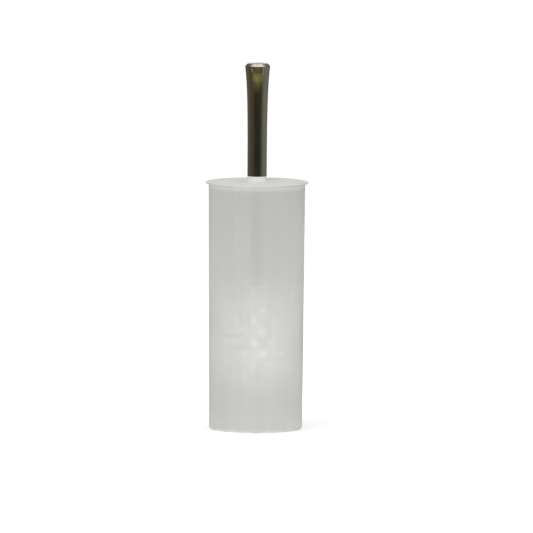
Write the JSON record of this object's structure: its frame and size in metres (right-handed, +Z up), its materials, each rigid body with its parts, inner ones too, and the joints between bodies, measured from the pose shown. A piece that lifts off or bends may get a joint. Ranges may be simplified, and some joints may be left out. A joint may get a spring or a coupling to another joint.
{
  "type": "toilet brush holder",
  "caption": "Tall frosted round holder with a flanged lid that carries a toilet brush: flared metal handle above, tufted round head hanging inside.",
  "frame": {"origin": "centre of the circle of foot pads, on the surface the holder stands on", "axes": "+Z up along the holder's axis, towards the handle"},
  "size_m": [0.1036, 0.1036, 0.3713],
  "materials": {
    "frosted_wall": "frosted, translucent",
    "lid_plastic": "satin, slightly translucent",
    "chrome": "mirror polish",
    "rod_steel": "ground",
    "spring_steel": "satin",
    "bearing_plastic": "satin",
    "core_plastic": "satin",
    "insert_brass": "machined",
    "bristle": "fine filaments",
    "pad_rubber": "soft, matt"
  },
  "bodies": {
    "holder": {"holder_tumbler": "frosted_wall", "foot_pads": "pad_rubber"},
    "lid": {"lid": "lid_plastic", "lid_bush": "bearing_plastic", "hub_washer": "bearing_plastic"},
    "brush": {"handle_tube": "chrome", "handle_cap": "chrome", "handle_plug": "bearing_plastic", "plug_washer": "spring_steel", "plug_nut": "spring_steel", "shaft_rod": "rod_steel", "retaining_ring": "spring_steel", "retaining_washer": "bearing_plastic", "head_core": "core_plastic", "head_insert": "insert_brass", "tuft_staples": "spring_steel", "bristle_row_1": "bristle", "bristle_row_2": "bristle", "bristle_row_3": "bristle", "bristle_row_4": "bristle", "bristle_row_5": "bristle", "bristle_row_6": "bristle", "bristle_ring_lower": "bristle", "bristle_ring_end": "bristle"}
  },
  "joints": [
    {"name": "lid_lift", "type": "slide", "parent": "holder", "child": "lid", "axis": [0, 0, 1], "range_m": [0, 0.3]},
    {"name": "brush_spin", "type": "hinge", "parent": "lid", "child": "brush", "pos_m": [0, 0, 0.25], "axis": [0, 0, 1], "continuous": true}
  ]
}
